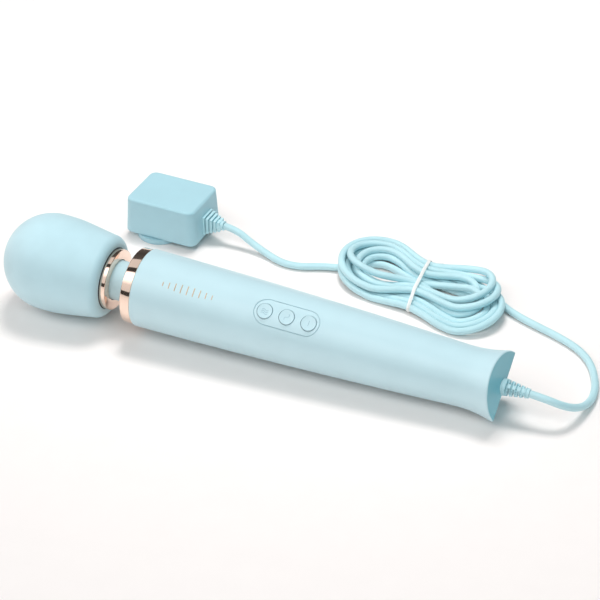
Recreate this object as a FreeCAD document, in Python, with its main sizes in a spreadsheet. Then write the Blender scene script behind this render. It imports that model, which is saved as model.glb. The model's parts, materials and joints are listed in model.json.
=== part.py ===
import FreeCAD, Part
import math
import os
import Sketcher

# A corded handheld wand massager that lies on a table, with its lead in a tied hank and its
# wall adapter behind it. Millimetres, +Z up. The origin is under the middle of the wand.
#
# The wand's pieces are drawn along their own axis: x is the distance from the tip of the
# head, z points out of the buttons. The adapter's pieces are drawn about the middle of its
# own underside. A placement then lays each group of pieces on the table.

Vec = FreeCAD.Vector

# ---------------------------------------------------------------- driving dimensions

dims = {
    # head
    "head_radius": 31.8, "crown_flat": 4.0, "back_arc": 90.0, "back_taper_deg": 8.8,
    "head_rear": 75.2, "shoulder_round": 6.0, "cover_wall": 3.0, "cover_mouth": 20.6,
    "skin_gap": 0.15, "head_wall": 2.2, "shell_split": 40.0, "rear_wall": 3.0, "hub_radius": 20.4,
    "hub_bore": 10.0, "head_ring_front": 75.4, "head_ring_rear": 79.4, "head_ring_radius": 20.1,
    "ring_bore": 13.35,
    # motor
    "motor_front": 24.0, "motor_rear": 56.0, "can_radius": 17.0, "can_wall": 1.2, "cap_rear": 58.5,
    "bush_radius": 5.0, "bush_length": 4.0, "shaft_radius": 2.0, "running_gap": 0.04,
    "shaft_front": 14.0, "shaft_rear": 61.0, "rotor_front": 30.0, "rotor_rear": 50.0,
    "rotor_radius": 13.0, "magnet_inner": 13.6, "magnet_half_deg": 70.0,
    "weight_front": 15.0, "weight_rear": 21.0,
    "weight_radius": 15.0, "weight_hub": 5.0, "weight_half_deg": 85.0,
    "commutator_rear": 54.0, "commutator_radius": 4.0,
    "brush_gap": 0.3, "brush_length": 4.5, "brush_width": 3.0, "brush_half": 1.5,
    "cushion_front": 31.5, "cushion_width": 5.0, "cushion_radius": 26.2,
    "rear_cushion_front": 44.0, "rear_cushion_radius": 25.2,
    # neck
    "sleeve_rear": 92.3, "sleeve_radius": 13.05, "sleeve_wall": 1.1,
    "core_radius": 11.6, "core_bore": 4.0, "core_tail_radius": 8.6, "core_front": 71.0,
    "core_rear": 101.0, "lead_radius": 0.9, "lead_spread": 2.0, "lead_front": 62.0, "lead_rear": 112.0,
    # collar and neck mount
    "collar_front": 92.4, "collar_rear": 99.1, "collar_radius": 24.8, "collar_face": 1.2,
    "collar_bore": 22.6, "collar_mouth": 13.4, "mount_radius": 22.4, "mount_rear": 103.0,
    "mount_bore": 10.0, "mount_screw_circle": 17.0,
    "mount_head_radius": 2.75, "mount_head_depth": 2.4, "mount_thread_radius": 1.5, "mount_sink_radius": 3.0,
    "mount_clear_radius": 1.65,
    # handle
    "wand_length": 340.0, "handle_front": 99.2, "front_radius": 25.5, "flare_start": 312.0,
    "waist_radius": 19.3, "flare_arc": 78.0, "front_arc": 5000.0,
    "bore_front": 22.7, "bore_waist": 16.6, "bore_end": 334.0, "end_slope_deg": 16.0,
    "relief_hole": 5.6, "front_edge_round": 0.8, "tail_edge_round": 0.9,
    # controls
    "panel_middle": 202.5, "panel_length": 43.0, "panel_width": 16.6, "panel_gap": 0.15, "line_width": 0.22,
    "line_depth": 0.25,
    "panel_depth": 1.5, "ledge": 1.0, "button_pitch": 14.5, "button_radius": 4.85,
    "button_hole": 5.15, "button_proud": 0.25, "button_round": 0.35, "button_height": 2.85, "dish_radius": 22.0,
    "dish_depth": 0.45, "flange_radius": 5.6, "flange_thick": 0.8, "stem_radius": 1.8,
    "stem_bottom": 17.4, "board_front": 148.0, "board_rear": 252.0,
    "board_half_width": 11.0, "board_bottom": 10.4,
    "board_top": 12.0, "switch_half": 3.0, "switch_top": 15.2, "plunger_top": 16.4,
    "plunger_radius": 1.6,
    # chassis and cable clamp
    "chassis_front": 103.1, "chassis_ring_rear": 109.0, "chassis_radius": 22.0,
    "chassis_bore": 12.5, "tray_bottom": -8.0, "tray_top": -6.0, "tray_half_width": 12.5,
    "tray_rear": 308.0, "standoff_radius": 2.6, "clamp_front": 296.0, "clamp_rear": 304.0,
    "clamp_half_width": 10.0, "clamp_top": 5.0, "small_head_radius": 1.9, "small_thread_radius": 1.0,
    "small_clear_radius": 1.1,
    # lead
    "lead_diameter": 4.8, "sheath_radius": 2.4, "lead_bore": 2.45,
    "relief_front": 330.0, "relief_flange": 332.5, "relief_end": 356.0,
    "relief_base": 5.5, "relief_tip": 3.0, "relief_core": 2.7, "relief_flange_radius": 8.0,
    "slot_width": 1.3, "slot_pitch": 3.1, "slot_count": 9, "slot_start": 1.4, "slot_web": 1.3,
    "slot_reach": 9.0,
    # hank
    "hank_bottom": 1.4, "hank_top": 12.4, "hank_round": 4.2, "tie_x": 71.0, "tie_width": 2.4,
    "tie_thick": 1.2,
    # adapter
    "case_length": 54.0, "case_width": 42.5, "case_bottom": 3.6, "case_top": 30.0,
    "case_draft_deg": 2.6, "case_corner": 5.5, "case_edge": 2.0, "case_foot_round": 1.2,
    "case_wall": 2.4,
    "base_thick": 2.0, "disc_radius": 15.8, "disc_offset_x": -6.0, "disc_offset_y": -7.6,
    "disc_thick": 3.5, "boss_front": 4.6, "boss_rear": 19.5, "boss_half_width": 8.8, "boss_top": 8.6,
    "boss_gap": 0.2,
    "blade_pitch": 12.7, "blade_length": 17.5, "blade_width": 6.3, "blade_thick": 1.5,
    "pivot_radius": 3.15, "pivot_x": -7.0, "pivot_height": 3.6, "pivot_half": 7.8,
    "fold_gap": 0.35, "cord_height": 13.3,
    "boot_radius": 3.4, "boot_socket": 3.6, "boot_root": 3.0, "boot_reach": 13.0, "rib_count": 5,
    "rib_pitch": 2.5, "rib_thick": 1.7, "rib_half": 6.6, "rib_step": 0.75,
    # how everything lies
    "roll_deg": 37.5, "adapter_x": -112.9, "adapter_y": 108.9, "adapter_yaw_deg": -2.2,
}

doc = FreeCAD.newDocument("wand_massager")
sheet = doc.addObject("Spreadsheet::Sheet", "dims")
for row, (alias, number) in enumerate(dims.items(), start=1):
    sheet.set("A%d" % row, alias)
    sheet.set("B%d" % row, str(number))
    sheet.setAlias("B%d" % row, alias)
doc.recompute()


def size(formula):
    """The value of a sum of named sizes, such as 'head_rear - cover_wall'."""
    total, sign = 0.0, 1.0
    for word in str(formula).split():
        if word in ("+", "-"):
            sign = 1.0 if word == "+" else -1.0
        else:
            total += sign * (float(getattr(sheet, word)) if word in dims else float(word))
    return total


def bound(formula):
    """The same sum as an expression on the sheet."""
    words = str(formula).split()
    return " ".join("dims." + word if word in dims else word for word in words)


# ---------------------------------------------------------------- builders

nodes = []


def bind(item, **formulas):
    """Bind properties of an object to sums of named sizes."""
    for name, formula in formulas.items():
        item.setExpression(name.replace("__", "."), bound(formula))
    return item


def rod(x0, x1, radius, y=0, z=0):
    """A round bar along x."""
    item = doc.addObject("Part::Cylinder", "rod")
    bind(item, Radius=radius, Height="%s - %s" % (x1, negated(x0)))
    item.Placement = FreeCAD.Placement(Vec(0, 0, 0), FreeCAD.Rotation(Vec(0, 1, 0), 90))
    bind(item, Placement__Base__x=x0, Placement__Base__y=y, Placement__Base__z=z)
    return item


def negated(formula):
    """The formula as it reads after a minus sign."""
    swap = {"+": "-", "-": "+"}
    return " ".join(swap.get(word, word) for word in str(formula).split())


def post(x, y, z0, z1, radius):
    """A round bar along z."""
    item = doc.addObject("Part::Cylinder", "post")
    bind(item, Radius=radius, Height="%s - %s" % (z1, negated(z0)))
    bind(item, Placement__Base__x=x, Placement__Base__y=y, Placement__Base__z=z0)
    return item


def block(x0, x1, y0, y1, z0, z1):
    """A rectangular block between two corners."""
    item = doc.addObject("Part::Box", "block")
    bind(item, Length="%s - %s" % (x1, negated(x0)), Width="%s - %s" % (y1, negated(y0)),
         Height="%s - %s" % (z1, negated(z0)))
    bind(item, Placement__Base__x=x0, Placement__Base__y=y0, Placement__Base__z=z0)
    return item


def fixed(shape, name="form"):
    """A shape worked out in this file, as an object of the document."""
    item = doc.addObject("Part::Feature", name)
    item.Shape = shape
    return item


def fuse(*items):
    item = doc.addObject("Part::MultiFuse", "joined")
    item.Shapes = list(items)
    return item


def cut(base, *tools):
    item = doc.addObject("Part::Cut", "cut")
    item.Base = base
    item.Tool = tools[0] if len(tools) == 1 else fuse(*tools)
    return item


def common(first, second):
    item = doc.addObject("Part::MultiCommon", "shared")
    item.Shapes = [first, second]
    return item


def group(*items):
    item = doc.addObject("Part::Compound", "group")
    item.Links = list(items)
    return item


def node(label, item, lay):
    """Name a finished piece and lay it in its place."""
    item.Label = label
    item.Placement = lay
    nodes.append(item)
    return item


def origin_plane(body, role):
    return next(feature for feature in body.Origin.OriginFeatures if feature.Role == role)


def new_sketch(body, role, name):
    sketch = body.newObject("Sketcher::SketchObject", name)
    sketch.AttachmentSupport = [(origin_plane(body, role), "")]
    sketch.MapMode = "FlatFace"
    return sketch


def draw_outline(sketch, corners):
    """A closed outline of straight edges whose corners are bound to the sheet."""
    points = [Vec(size(x), size(y), 0) for x, y in corners]
    count = len(points)
    for i in range(count):
        sketch.addGeometry(Part.LineSegment(points[i], points[(i + 1) % count]), False)
    for i in range(count):
        sketch.addConstraint(Sketcher.Constraint("Coincident", i, 2, (i + 1) % count, 1))
    for i, (x, y) in enumerate(corners):
        for kind, name, formula in (("DistanceX", "x%d", x), ("DistanceY", "y%d", y)):
            if formula == "0":
                axis = -2 if kind == "DistanceX" else -1
                sketch.addConstraint(Sketcher.Constraint("PointOnObject", i, 1, axis))
                continue
            index = sketch.addConstraint(
                Sketcher.Constraint(kind, -1, 1, i, 1, size(formula)))
            sketch.renameConstraint(index, name % i)
            sketch.setExpression("Constraints." + name % i, bound(formula))


def turned(label, corners, lay):
    """A piece turned about the wand's axis; corners are (distance along, radius)."""
    body = doc.addObject("PartDesign::Body", label)
    sketch = new_sketch(body, "XY_Plane", label + "_outline")
    draw_outline(sketch, corners)
    turn = body.newObject("PartDesign::Revolution", label + "_turn")
    turn.Profile = sketch
    turn.ReferenceAxis = (sketch, ["H_Axis"])
    turn.Angle = 360
    body.Tip = turn
    return node(label, body, lay)


def tube(label, x0, x1, outer, inner, lay):
    return turned(label, [(x0, inner), (x0, outer), (x1, outer), (x1, inner)], lay)


def spin(edges):
    """A solid turned about x from the edges of half its outline, which ends on the axis."""
    first = edges[0].Vertexes[0].Point
    last = edges[-1].Vertexes[-1].Point
    closing = Part.LineSegment(last, first).toShape()
    face = Part.Face(Part.Wire(Part.__sortEdges__(edges + [closing])))
    return face.revolve(Vec(0, 0, 0), Vec(1, 0, 0), 360)


def rim_edges(solid, x):
    """The edges of a turned solid that lie in the plane across the axis at x."""
    return [edge for edge in solid.Edges
            if abs(edge.BoundBox.XMin - x) < 1e-3 and abs(edge.BoundBox.XMax - x) < 1e-3
            and edge.BoundBox.YLength > 10]


def line(a, b):
    return Part.LineSegment(Vec(a[0], a[1], 0), Vec(b[0], b[1], 0)).toShape()


def arc(a, middle, b):
    return Part.Arc(Vec(a[0], a[1], 0), Vec(middle[0], middle[1], 0), Vec(b[0], b[1], 0)).toShape()


# ---------------------------------------------------------------- how the wand lies

# The wand rests on the arc at the back of the head and on the rim of the tail. The rim's
# lowest place stands back from the ridge by this much.
rim_recess = (size("waist_radius + 2.3") * math.tan(math.radians(size("end_slope_deg")))
              * math.cos(math.radians(size("roll_deg"))))
rest_tail = size("wand_length") - rim_recess


def handle_radius(x):
    """Outer radius of the handle: one long crown arc, then the flare of the tail."""
    if x <= size("flare_start"):
        span = size("flare_start - handle_front")
        bulge = (x - size("handle_front")) * (size("flare_start") - x) / (2 * size("front_arc"))
        share = (x - size("handle_front")) / span
        return size("front_radius") + share * size("waist_radius - front_radius") + bulge
    slope = handle_slope()
    start = slope * size("flare_arc")
    run = x - size("flare_start") + start
    root = math.sqrt(size("flare_arc") ** 2 - run ** 2)
    base = math.sqrt(size("flare_arc") ** 2 - start ** 2)
    return size("waist_radius") + base - root


def handle_slope():
    """Slope of the handle where the crown arc meets the flare."""
    span = size("flare_start - handle_front")
    return size("waist_radius - front_radius") / span - span / (2 * size("front_arc"))


drop = size("head_radius") - handle_radius(rest_tail)
arc_start = size("head_radius + crown_flat")
tilt = 0.0
for step in range(5):
    sag = size("back_arc - head_radius") + handle_radius(rest_tail)
    tilt = math.asin((drop + sag * (1 - math.cos(tilt))) / (rest_tail - arc_start))
reach = size("relief_end") * math.cos(tilt)
tip_height = rest_tail * math.sin(tilt) + handle_radius(rest_tail) * math.cos(tilt)
wand_turn = FreeCAD.Rotation(Vec(0, 1, 0), math.degrees(tilt)).multiply(
    FreeCAD.Rotation(Vec(1, 0, 0), size("roll_deg")))
wand = FreeCAD.Placement(Vec(-reach / 2, 0, tip_height), wand_turn)
adapter = FreeCAD.Placement(Vec(size("adapter_x"), size("adapter_y"), 0),
                            FreeCAD.Rotation(Vec(0, 0, 1), size("adapter_yaw_deg")))

# ---------------------------------------------------------------- head


def head_form(inset, rear):
    """Solid of the head's outline: a ball, a short cylinder, an arc and a taper."""
    radius = size("head_radius") - inset
    centre = size("head_radius")
    flat_end = centre + size("crown_flat")
    angle = math.radians(size("back_taper_deg"))
    back = size("back_arc") - inset

    def back_point(turn):
        return (flat_end + back * math.sin(turn), radius - back * (1 - math.cos(turn)))

    start = back_point(angle)
    finish = (rear, start[1] - (rear - start[0]) * math.tan(angle))
    diagonal = radius * math.sqrt(0.5)
    edges = [
        arc((centre - radius, 0), (centre - diagonal, diagonal), (centre, radius)),
        line((centre, radius), (flat_end, radius)),
        arc((flat_end, radius), back_point(angle / 2), start),
        line(start, finish),
        line(finish, (rear, 0)),
    ]
    return spin(edges)


def rounded_rear(solid, rear, radius):
    """Round the edge where the head's taper meets its flat rear face."""
    return solid.makeFillet(radius, rim_edges(solid, rear))


wall = size("cover_wall")
skin = size("cover_wall + skin_gap")
inner = size("cover_wall + skin_gap + head_wall")
cover_rear = size("head_rear")
shell_rear = size("head_rear - cover_wall - skin_gap")
cover_outside = fixed(rounded_rear(head_form(0, cover_rear), cover_rear, size("shoulder_round")))
cover_inside = fixed(rounded_rear(head_form(wall, size("head_rear - cover_wall")),
                                  size("head_rear - cover_wall"), wall))
cover_mouth = rod("head_rear - cover_wall - 1", "head_rear + 1", "cover_mouth")
node("head_cover", cut(cover_outside, cover_inside, cover_mouth), wand)

shell_outside = fixed(rounded_rear(head_form(skin, shell_rear), shell_rear, wall))
shell_inside = fixed(head_form(inner, shell_rear - size("rear_wall")))
front_half = block(0, "shell_split", -40, 40, -40, 40)
node("head_shell_front", cut(common(shell_outside, front_half), shell_inside), wand)
shell_outside = fixed(shell_outside.Shape)
shell_inside = fixed(shell_inside.Shape)
rear_half = block("shell_split", 90, -40, 40, -40, 40)
hub = rod("head_rear - cover_wall - skin_gap - 1", "head_ring_front", "hub_radius")
hub_bore = rod("shell_split", "head_ring_front + 1", "hub_bore")
node("head_shell_rear", cut(fuse(common(shell_outside, rear_half), hub), shell_inside, hub_bore), wand)

tube("head_ring", "head_ring_front", "head_ring_rear", "head_ring_radius", "ring_bore", wand)

# ---------------------------------------------------------------- motor in the head

can_bore = "can_radius - can_wall"
turned("motor_can", [
    ("motor_front", "bush_radius"), ("motor_front", "can_radius"), ("motor_rear", "can_radius"),
    ("motor_rear", can_bore), ("motor_front + can_wall", can_bore),
    ("motor_front + can_wall", "bush_radius")], wand)
tube("motor_end_cap", "motor_rear", "cap_rear", "can_radius", "bush_radius", wand)
bush_bore = "shaft_radius + running_gap"
tube("front_bush", "motor_front - 1", "motor_front + bush_length - 1", "bush_radius", bush_bore, wand)
tube("rear_bush", "motor_rear", "cap_rear + 0.5", "bush_radius", bush_bore, wand)
turned("motor_shaft", [("shaft_front", "0"), ("shaft_front", "shaft_radius"),
                       ("shaft_rear", "shaft_radius"), ("shaft_rear", "0")], wand)
tube("motor_rotor", "rotor_front", "rotor_rear", "rotor_radius", "shaft_radius", wand)
tube("commutator", "rotor_rear", "commutator_rear", "commutator_radius", "shaft_radius", wand)


def sector(x0, x1, outer, hole, middle_deg, half_deg):
    """A slice of a ring about the axis, around one direction."""
    item = doc.addObject("Part::Cylinder", "sector")
    bind(item, Radius=outer, Height="%s - %s" % (x1, negated(x0)))
    item.Angle = 2 * half_deg
    turn = FreeCAD.Rotation(Vec(1, 0, 0), middle_deg - half_deg).multiply(
        FreeCAD.Rotation(Vec(1, 1, 1), 120))
    item.Placement = FreeCAD.Placement(Vec(0, 0, 0), turn)
    bind(item, Placement__Base__x=x0)
    return cut(item, rod("%s - 1" % x0, "%s + 1" % x1, hole))


# Straight down, as seen from the wand that is rolled onto its side.
down_deg = 270 - size("roll_deg")
side_deg = (0, 180)
node("motor_magnets", group(*[sector("rotor_front", "rotor_rear", can_bore, "magnet_inner",
                                     middle, size("magnet_half_deg")) for middle in side_deg]), wand)
half_disc = sector("weight_front", "weight_rear", "weight_radius", "shaft_radius", down_deg,
                   size("weight_half_deg"))
weight_hub = cut(rod("weight_front", "weight_rear", "weight_hub"),
                 rod("weight_front - 1", "weight_rear + 1", "shaft_radius"))
node("eccentric_weight", fuse(half_disc, weight_hub), wand)
brush_foot = "commutator_radius + brush_gap"
node("motor_brushes", group(
    block("commutator_rear - brush_width", "motor_rear", brush_foot,
          "%s + brush_length" % brush_foot, "0 - brush_half", "brush_half"),
    block("commutator_rear - brush_width", "motor_rear", "0 - %s - brush_length" % negated(brush_foot),
          "0 - %s" % negated(brush_foot), "0 - brush_half", "brush_half")), wand)
node("motor_cushions", group(
    cut(rod("cushion_front", "cushion_front + cushion_width", "cushion_radius"),
        rod("cushion_front - 1", "cushion_front + cushion_width + 1", "can_radius")),
    cut(rod("rear_cushion_front", "rear_cushion_front + cushion_width", "rear_cushion_radius"),
        rod("rear_cushion_front - 1", "rear_cushion_front + cushion_width + 1", "can_radius"))), wand)

# ---------------------------------------------------------------- neck

tube("neck_sleeve", "head_ring_rear", "sleeve_rear", "sleeve_radius",
     "sleeve_radius - sleeve_wall", wand)
turned("neck_core", [
    ("core_front", "core_bore"), ("core_front", "core_tail_radius"),
    ("head_ring_rear + 0.3", "core_tail_radius"), ("head_ring_rear + 0.3", "core_radius"),
    ("sleeve_rear - 0.2", "core_radius"), ("sleeve_rear - 0.2", "core_tail_radius"),
    ("core_rear", "core_tail_radius"), ("core_rear", "core_bore")], wand)
node("motor_leads", group(
    rod("lead_front", "lead_rear", "lead_radius", y="lead_spread"),
    rod("lead_front", "lead_rear", "lead_radius", y="0 - lead_spread")), wand)

# ---------------------------------------------------------------- collar and neck mount

turned("collar_ring", [
    ("collar_front", "collar_mouth"), ("collar_front", "collar_radius"),
    ("collar_rear", "collar_radius"), ("collar_rear", "collar_bore"),
    ("collar_front + collar_face", "collar_bore"), ("collar_front + collar_face", "collar_mouth")], wand)


def around(circle, count, first_deg=90):
    """Places on a circle about the axis, as (y, z)."""
    turns = [math.radians(first_deg + 360 * i / count) for i in range(count)]
    return [(circle * math.cos(turn), circle * math.sin(turn)) for turn in turns]


screw_places = around(size("mount_screw_circle"), 3)
mount_front = "collar_front + collar_face"
mount_disc = cut(rod(mount_front, "mount_rear", "mount_radius"),
                 rod("collar_front", "mount_rear + 1", "mount_bore"),
                 *[rod("collar_front", "%s + mount_head_depth" % mount_front, "mount_sink_radius", y=y, z=z)
                   for y, z in screw_places],
                 *[rod("collar_front", "mount_rear + 1", "mount_clear_radius", y=y, z=z)
                   for y, z in screw_places])
node("neck_mount", mount_disc, wand)


def long_screw(y, z):
    """A pan-head screw along x: head in the mount's counterbore, thread in the chassis."""
    return fuse(rod("%s + 0.3" % mount_front, "%s + mount_head_depth" % mount_front,
                    "mount_head_radius", y=y, z=z),
                rod("%s + mount_head_depth" % mount_front, "chassis_ring_rear - 1",
                    "mount_thread_radius", y=y, z=z))


node("neck_mount_screws", group(*[long_screw(y, z) for y, z in screw_places]), wand)

# ---------------------------------------------------------------- handle

front = size("handle_front")
flare = size("flare_start")
length = size("wand_length")
crown_middle = (front + flare) / 2
flare_middle = (flare + length) / 2


def handle_form(inset):
    """Solid of the handle's outline, with the roof-shaped end, inset from the surface."""
    def at(x):
        return (x, handle_radius(x) - inset)
    outline = [
        line((front, 0), at(front)),
        arc(at(front), at(crown_middle), at(flare)),
        arc(at(flare), at(flare_middle), at(length)),
        line(at(length), (length, 0)),
    ]
    return spin(outline)


def roof_wedge(side):
    """What is cut away on one side of the ridge across the tail: side is 1 or -1."""
    reach_out = 40.0
    wedge = Part.makeBox(reach_out, 2 * reach_out, reach_out,
                         Vec(length, -reach_out, 0 if side > 0 else -reach_out))
    wedge.rotate(Vec(length, 0, 0), Vec(0, 1, 0), -side * size("end_slope_deg"))
    return wedge


def tail_rims(solid):
    """The two curved edges where the slopes of the tail meet the turned side."""
    return [edge for edge in solid.Edges
            if edge.CenterOfMass.x > flare_middle and edge.Length > size("wand_length") / 6
            and abs(edge.CenterOfMass.z) > size("waist_radius") / 2]


def handle_solid():
    """The outside of the handle: turned, cut to a roof at the tail, its rims rounded."""
    solid = handle_form(0).cut(roof_wedge(1)).cut(roof_wedge(-1))
    solid = solid.makeFillet(size("tail_edge_round"), tail_rims(solid))
    return solid.makeFillet(size("front_edge_round"), rim_edges(solid, front))


def stadium(grow, depth_low, depth_high):
    """A slot-shaped prism over the control panel, standing along z."""
    half = size("panel_length") / 2 + grow
    radius = size("panel_width") / 2 + grow
    middle = size("panel_middle")
    reach_x = half - radius
    low = Vec(middle - reach_x, -radius, 0)
    edges = [
        Part.LineSegment(low, Vec(middle + reach_x, -radius, 0)).toShape(),
        Part.Arc(Vec(middle + reach_x, -radius, 0), Vec(middle + half, 0, 0),
                 Vec(middle + reach_x, radius, 0)).toShape(),
        Part.LineSegment(Vec(middle + reach_x, radius, 0), Vec(middle - reach_x, radius, 0)).toShape(),
        Part.Arc(Vec(middle - reach_x, radius, 0), Vec(middle - half, 0, 0), low).toShape(),
    ]
    prism = Part.Face(Part.Wire(edges)).extrude(Vec(0, 0, depth_high - depth_low))
    prism.translate(Vec(0, 0, depth_low))
    return prism


panel_seat = handle_form(size("panel_depth"))
handle_outside = fixed(handle_solid(), "handle_outside")
bore = fixed(spin([
    line((front - 1, 0), (front - 1, size("bore_front"))),
    line((front - 1, size("bore_front")), (size("panel_middle"), size("bore_front") - 2.2)),
    line((size("panel_middle"), size("bore_front") - 2.2), (size("clamp_front"), size("bore_waist"))),
    line((size("clamp_front"), size("bore_waist")), (size("bore_end"), size("bore_waist"))),
    line((size("bore_end"), size("bore_waist")), (size("bore_end"), 0)),
]), "handle_bore")
edge_seat = handle_form(size("line_depth"))
panel_recess = fixed(stadium(0, 10, 40).cut(panel_seat))
recess_edge = fixed(stadium(size("line_width"), 10, 40).cut(edge_seat))
ledge_opening = fixed(stadium(-size("ledge"), 10, 40))
node("handle_shell", cut(handle_outside, bore, panel_recess, recess_edge, ledge_opening,
                         rod("bore_end - 1", "wand_length + 1", "relief_hole")), wand)

# ---------------------------------------------------------------- controls

button_places = ["panel_middle - button_pitch", "panel_middle", "panel_middle + button_pitch"]
panel_blank = stadium(-size("panel_gap"), 10, 40).common(handle_form(0)).cut(panel_seat)
panel_edge = stadium(0, 10, 40).cut(stadium(-size("panel_gap + line_width"), 10, 40)).cut(edge_seat)
node("button_panel", cut(fixed(panel_blank.cut(panel_edge), "panel_blank"),
                         *[post(x, 0, 10, 40, "button_hole") for x in button_places]), wand)


def button(x):
    """A round key with a shallow dish in its top, a flange under the panel and a stem."""
    top = "%.3f + button_proud" % handle_radius(size(x))
    flange_top = "%s - button_height" % top
    flange_bottom = "%s - flange_thick" % flange_top
    dish = doc.addObject("Part::Sphere", "dish")
    bind(dish, Radius="dish_radius", Placement__Base__x=x,
         Placement__Base__z="%s + dish_radius - dish_depth" % top)
    cap = post(x, 0, "%s - 0.1" % flange_top, top, "button_radius")
    doc.recompute()
    rim = max(cap.Shape.Edges, key=lambda edge: edge.CenterOfMass.z)
    rounded_cap = cap.Shape.makeFillet(size("button_round"), [rim])
    key = fuse(fixed(rounded_cap, "cap"),
               post(x, 0, flange_bottom, flange_top, "flange_radius"),
               post(x, 0, "stem_bottom", "%s + 0.1" % flange_bottom, "stem_radius"))
    return cut(key, dish)


for label, x in zip(("button_pattern", "button_rhythm", "button_power"), button_places):
    node(label, button(x), wand)

node("key_switches", group(*[
    fuse(block("%s - switch_half" % x, "%s + switch_half" % x, "0 - switch_half", "switch_half",
               "board_top", "switch_top"),
         post(x, 0, "switch_top - 0.1", "plunger_top", "plunger_radius"))
    for x in button_places]), wand)

standoffs = [(x, y) for x in ("board_front + 5", "board_rear - 5")
             for y in ("board_half_width - 3.2", "3.2 - board_half_width")]
board = block("board_front", "board_rear", "0 - board_half_width", "board_half_width",
              "board_bottom", "board_top")
node("control_board", cut(board, *[post(x, y, 5, 20, "small_clear_radius") for x, y in standoffs]), wand)
node("board_screws", group(*[
    fuse(post(x, y, "board_top", "board_top + 1.3", "small_head_radius"),
         post(x, y, "board_bottom - 6", "board_top + 0.1", "small_thread_radius"))
    for x, y in standoffs]), wand)
node("driver_chip", group(block("board_rear - 30", "board_rear - 20", -5, 5, "board_top",
                                "board_top + 1.8")), wand)
node("board_capacitor", group(post("board_front + 16", 0, "board_top", "board_top + 6.5", "4")), wand)
node("lead_connectors", group(
    block("board_front + 1", "board_front + 8", -3, 3, "board_top", "board_top + 4.2"),
    block("board_rear - 12", "board_rear - 5", -3, 3, "board_top", "board_top + 3.6")), wand)

# ---------------------------------------------------------------- chassis and cable clamp

clamp_screw_places = [("clamp_front + 4", "7"), ("clamp_front + 4", "0 - 7")]
chassis_form = fuse(
    rod("chassis_front", "chassis_ring_rear", "chassis_radius"),
    block("chassis_ring_rear - 1", "tray_rear", "0 - tray_half_width", "tray_half_width",
          "tray_bottom", "tray_top"),
    block("clamp_front", "clamp_rear", "0 - clamp_half_width", "clamp_half_width", "tray_top - 0.5", "0"),
    *[post(x, y, "tray_top - 0.5", "board_bottom", "standoff_radius") for x, y in standoffs])
node("chassis", cut(chassis_form,
                    rod("chassis_front - 1", "chassis_ring_rear + 1", "chassis_bore"),
                    rod("clamp_front - 1", "clamp_rear + 1", "lead_bore"),
                    *[rod("chassis_front - 1", "chassis_ring_rear + 1", "mount_thread_radius", y=y, z=z)
                      for y, z in screw_places],
                    *[post(x, y, "board_bottom - 6.2", "board_bottom + 1", "small_thread_radius")
                      for x, y in standoffs],
                    *[post(x, y, "0 - 5", "1", "small_thread_radius")
                      for x, y in clamp_screw_places]), wand)
clamp_bar = block("clamp_front", "clamp_rear", "0 - clamp_half_width", "clamp_half_width", "0.1", "clamp_top")
node("cable_clamp", cut(clamp_bar, rod("clamp_front - 1", "clamp_rear + 1", "lead_bore"),
                        *[post(x, y, -1, 9, "small_clear_radius") for x, y in clamp_screw_places]), wand)
node("clamp_screws", group(*[
    fuse(post(x, y, "clamp_top", "clamp_top + 1.4", "small_head_radius"),
         post(x, y, "0 - 4.8", "clamp_top + 0.1", "small_thread_radius"))
    for x, y in clamp_screw_places]), wand)
node("supply_lead", group(rod("board_rear + 4", "relief_front", "sheath_radius")), wand)

# ---------------------------------------------------------------- strain relief at the tail


def slotted_cone(x0, x1, base, tip, slots, first):
    """A tapered sleeve with slots that alternate between two crosswise directions."""
    cone = doc.addObject("Part::Cone", "cone")
    bind(cone, Radius1=base, Radius2=tip, Height="%s - %s" % (x1, negated(x0)))
    cone.Placement = FreeCAD.Placement(Vec(0, 0, 0), FreeCAD.Rotation(Vec(0, 1, 0), 90))
    bind(cone, Placement__Base__x=x0)
    web, reach_out = size("slot_web"), size("slot_reach")
    slices = []
    for i in range(slots):
        start = size(first) + i * size("slot_pitch") / 2
        flip = 1 if i % 2 else -1
        for side in (1, -1):
            low, high = (web, reach_out) if side > 0 else (-reach_out, -web)
            full = (-reach_out, reach_out)
            spans = (low, high, *full) if flip > 0 else (*full, low, high)
            slices.append(block(start, start + size("slot_width"), *spans))
    core = rod(x0, x1, "relief_core")
    return fuse(cut(cone, *slices), core)


relief_body = slotted_cone("wand_length", "relief_end", "relief_base", "relief_tip",
                           int(size("slot_count")), "wand_length + slot_start")
node("tail_strain_relief", fuse(relief_body, rod("relief_flange - 0.1", "wand_length + 0.1", "relief_base"),
                                rod("relief_front", "relief_flange", "relief_flange_radius")), wand)

# ---------------------------------------------------------------- the free lead


def tube_path(points):
    """Straight runs joined by tangent arcs, each as large as its two runs allow."""
    edges, start, radii = [], points[0], []
    for before, corner, after in zip(points, points[1:], points[2:]):
        to_corner = (corner - before).normalize()
        from_corner = (after - corner).normalize()
        turn = to_corner.getAngle(from_corner)
        setback = 0.45 * min((corner - before).Length, (after - corner).Length)
        radius = setback / math.tan(turn / 2)
        radii.append(radius)
        enter = corner - to_corner * setback
        leave = corner + from_corner * setback
        bisector = (from_corner - to_corner).normalize()
        centre = corner + bisector * (radius / math.cos(turn / 2))
        middle = centre - bisector * radius
        edges.append(Part.LineSegment(start, enter).toShape())
        edges.append(Part.Arc(enter, middle, leave).toShape())
        start = leave
    edges.append(Part.LineSegment(start, points[-1]).toShape())
    return Part.Wire(edges), radii


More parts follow.
